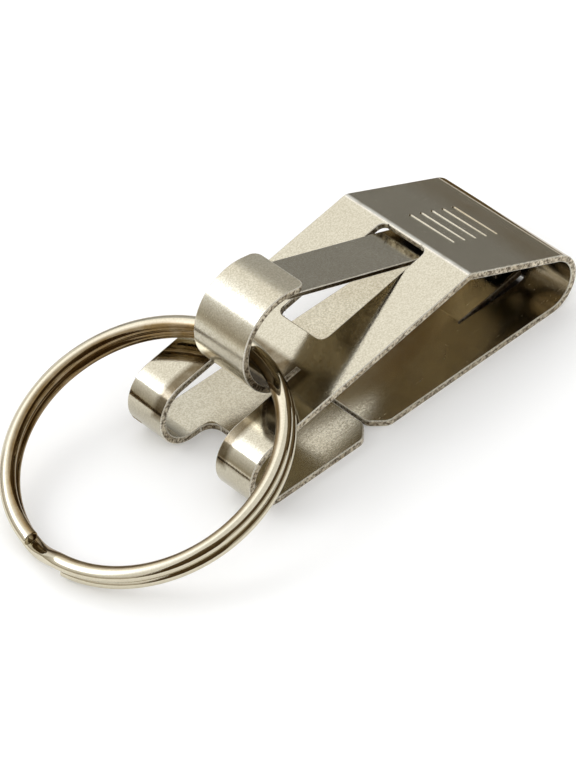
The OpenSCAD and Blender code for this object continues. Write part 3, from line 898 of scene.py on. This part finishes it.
def glowMaterial(c):
    # Adds light to what lies behind it, most in the middle
    glow, tree = newMaterial(c["name"])
    place = objectPlace(tree)
    span = vectorNode(tree, "DOT_PRODUCT", place, place, "Value")
    fade = mathNode(tree, "EXPONENT", mathNode(tree, "MULTIPLY", span, -c["fall"]))
    level = mathNode(tree, "MULTIPLY", fade, c["level"])
    shine = addNode(tree, "Emission", {"Color": c["color"] + (1,), "Strength": level})
    both = addNode(tree, "AddShader", {0: shine.outputs[0], 1: addNode(tree, "BsdfTransparent").outputs[0]})
    feed(tree, tree.nodes["Material Output"].inputs["Surface"], both.outputs[0])
    return glow


def floorMaterial():
    floor, tree = newMaterial("paleFloor")
    shader = tree.nodes["Principled BSDF"]
    shader.inputs["Roughness"].default_value = studio["floorRough"]
    # Painted shadow: the floor is dark only where the slot under the tab shows it
    under = studio["underTabShadow"]
    split = addNode(tree, "SeparateXYZ", {0: objectPlace(tree)}).outputs
    inside = None
    for axis, middle, half in zip("XY", under["middle"], under["half"]):
        away = mathNode(tree, "ABSOLUTE", mathNode(tree, "SUBTRACT", split[axis], middle * mm))
        one = rangeNode(tree, away, (half - under["soft"]) * mm, half * mm, toLow=1.0, toHigh=0.0)
        inside = one if inside is None else mathNode(tree, "MULTIPLY", inside, one)
    feed(tree, shader.inputs["Base Color"], mixColor(tree, inside, studio["floorColor"], under["color"]))
    # Its glow lifts it for the camera and in the metal, and lights nothing
    path = addNode(tree, "LightPath").outputs
    seen = mathNode(tree, "MAXIMUM", path["Is Glossy Ray"], path["Is Transmission Ray"])
    seen = mathNode(tree, "MAXIMUM", path["Is Camera Ray"], seen)
    glowing = mathNode(tree, "MULTIPLY", seen, mathNode(tree, "SUBTRACT", 1.0, inside))
    shader.inputs["Emission Color"].default_value = (1, 1, 1, 1)
    feed(tree, shader.inputs["Emission Strength"], mathNode(tree, "MULTIPLY", glowing, studio["floorGlow"]))
    # Seen from below, the floor is not there
    passed = mathNode(tree, "GREATER_THAN", path["Transparent Depth"], 0.5)
    hidden = mathNode(tree, "MAXIMUM", addNode(tree, "NewGeometry").outputs["Backfacing"], passed)
    clear = addNode(tree, "BsdfTransparent").outputs[0]
    choice = addNode(tree, "MixShader", {0: hidden, 1: shader.outputs[0], 2: clear})
    feed(tree, tree.nodes["Material Output"].inputs["Surface"], choice.outputs[0])
    return floor


def buildFloor():
    deselectAll()
    bpy.ops.mesh.primitive_plane_add(size=studio["floorSize"], location=(0, 0, -studio["floorDrop"] * mm))
    floor = bpy.context.object
    floor.name = "studioFloor"
    floor.data.materials.append(floorMaterial())


def buildLamp(c):
    width, height = c["size"]
    place = Vector(c["toward"]).normalized() * c["distance"]
    bpy.ops.object.light_add(type="AREA", location=place, rotation=lookAlong(c["toward"]))
    lamp = bpy.context.object
    lamp.name = c["name"]
    lamp.data.shape = "RECTANGLE"
    lamp.data.size, lamp.data.size_y = width, height
    lamp.data.energy = pi * width * height * c["level"]
    lamp.visible_glossy = c["inMetal"]


def buildGlow(c):
    deselectAll()
    place = Vector(c["toward"]).normalized() * c["distance"]
    bpy.ops.mesh.primitive_plane_add(size=1, location=place, rotation=lookAlong(c["toward"]))
    glow = bpy.context.object
    glow.name = c["name"]
    glow.scale = (c["size"], c["size"], 1)
    showInMetal(glow, glowMaterial(c))


def buildFloorCard(c):
    deselectAll()
    bpy.ops.mesh.primitive_plane_add(size=1, location=(
        (c["lowX"] + c["highX"]) / 2 * mm, (c["lowY"] + c["highY"]) / 2 * mm,
        (studio["cardLift"] - studio["floorDrop"]) * mm))
    card = bpy.context.object
    card.name = c["name"]
    card.scale = ((c["highX"] - c["lowX"]) * mm, (c["highY"] - c["lowY"]) * mm, 1)
    bpy.ops.object.transform_apply()
    showInMetal(card, paperMaterial(c, "X"))


def buildScreen(c):
    deselectAll()
    bpy.ops.mesh.primitive_plane_add(size=1)
    screen = bpy.context.object
    screen.name = c["name"]
    startEdit(screen)
    bpy.ops.mesh.select_mode(type="VERT")
    bpy.ops.mesh.select_all(action="SELECT")
    bpy.ops.mesh.merge(type="CENTER")
    start, radius, low = radians(c["from"]), studio["screenRadius"], studio["screenFoot"]
    bpy.ops.transform.translate(value=(radius * cos(start), radius * sin(start), low))
    bpy.ops.mesh.extrude_region_move(TRANSFORM_OT_translate={"value": (0, 0, c["high"] - low)})
    bpy.ops.mesh.select_all(action="SELECT")
    pushRound(c["to"] - c["from"], c["steps"])
    endEdit()
    showInMetal(screen, paperMaterial(c, "Z"))


def setWorld():
    world = bpy.context.scene.world or bpy.data.worlds.new("studio")
    bpy.context.scene.world = world
    world.use_nodes = True
    back = world.node_tree.nodes["Background"].inputs
    back["Color"].default_value = (1, 1, 1, 1)
    back["Strength"].default_value = studio["worldLevel"]


print("stage: studio")
setCamera()
buildFloor()
for lamp in studio["lamps"]:
    buildLamp(lamp)
buildGlow(studio["glow"])
for card in studio["floorCards"]:
    buildFloorCard(card)
for screen in studio["screens"]:
    buildScreen(screen)
setWorld()
bpy.context.scene.view_settings.view_transform = "Standard"
